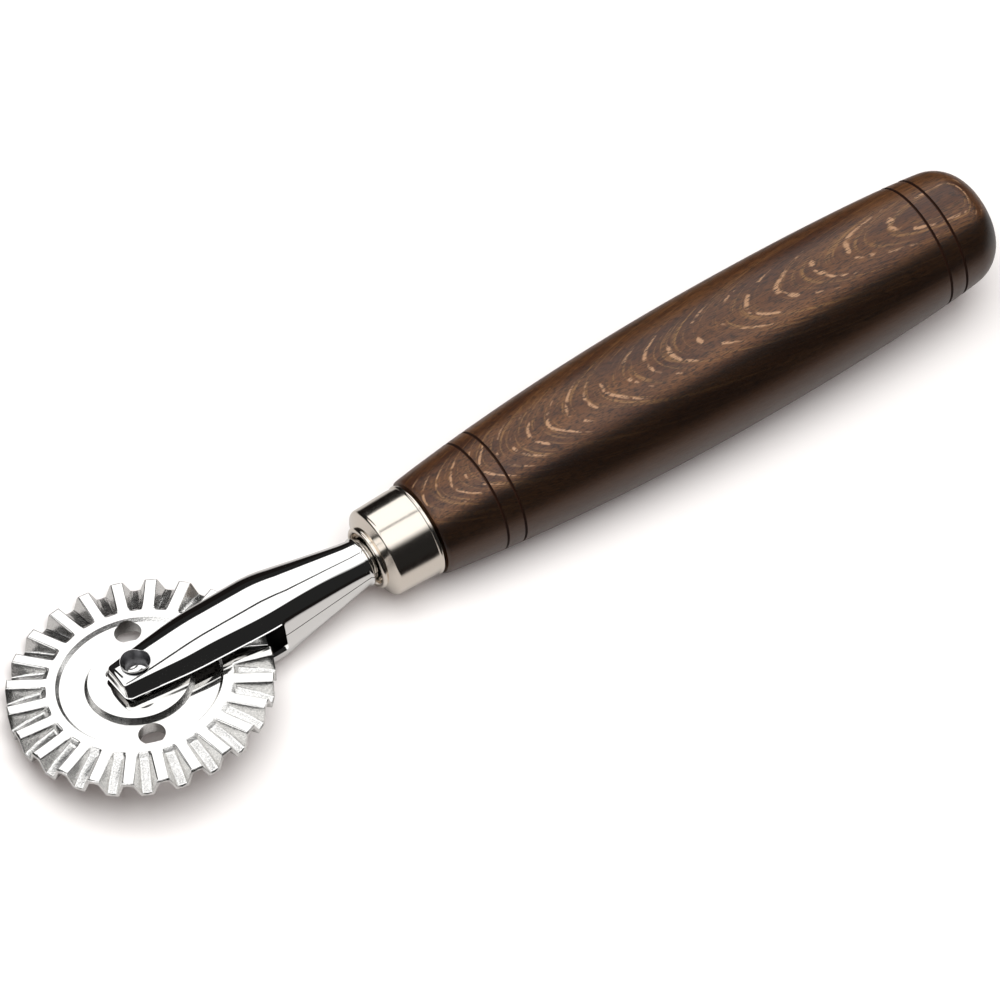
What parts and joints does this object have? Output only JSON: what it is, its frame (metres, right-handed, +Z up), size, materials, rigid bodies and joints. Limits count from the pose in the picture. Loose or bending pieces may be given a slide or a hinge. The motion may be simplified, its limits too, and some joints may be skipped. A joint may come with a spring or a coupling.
{
  "type": "pastry wheel",
  "caption": "Hand tool for cutting and crimping dough: a fluted metal wheel turning in a two-shell fork, with a ferrule and a turned wooden handle.",
  "frame": {"origin": "middle of the underside of the tool's box, on the table that the tool lies on", "axes": "+X towards the butt of the handle, +Z up from the table, +Y across the tool"},
  "size_m": [0.1714, 0.0394, 0.0238],
  "materials": {
    "chrome_plate": "bright plated",
    "nickel_plate": "bright plated, slightly warm",
    "drawn_steel": "plain drawn",
    "dark_beech": "dark stained, waxed"
  },
  "bodies": {
    "root": {"upper_fork_shell": "chrome_plate", "lower_fork_shell": "chrome_plate", "axle_rivet": "chrome_plate", "axle_sleeve": "drawn_steel", "tang": "drawn_steel", "ferrule": "nickel_plate", "handle": "dark_beech"},
    "wheel": {"fluted_wheel": "chrome_plate"}
  },
  "joints": [
    {"name": "wheel_spin", "type": "hinge", "parent": "root", "child": "wheel", "pos_m": [-0.0657, 0.00003, 0.0066], "axis": [-0.0487, 0.2529, 0.9663], "continuous": true}
  ]
}
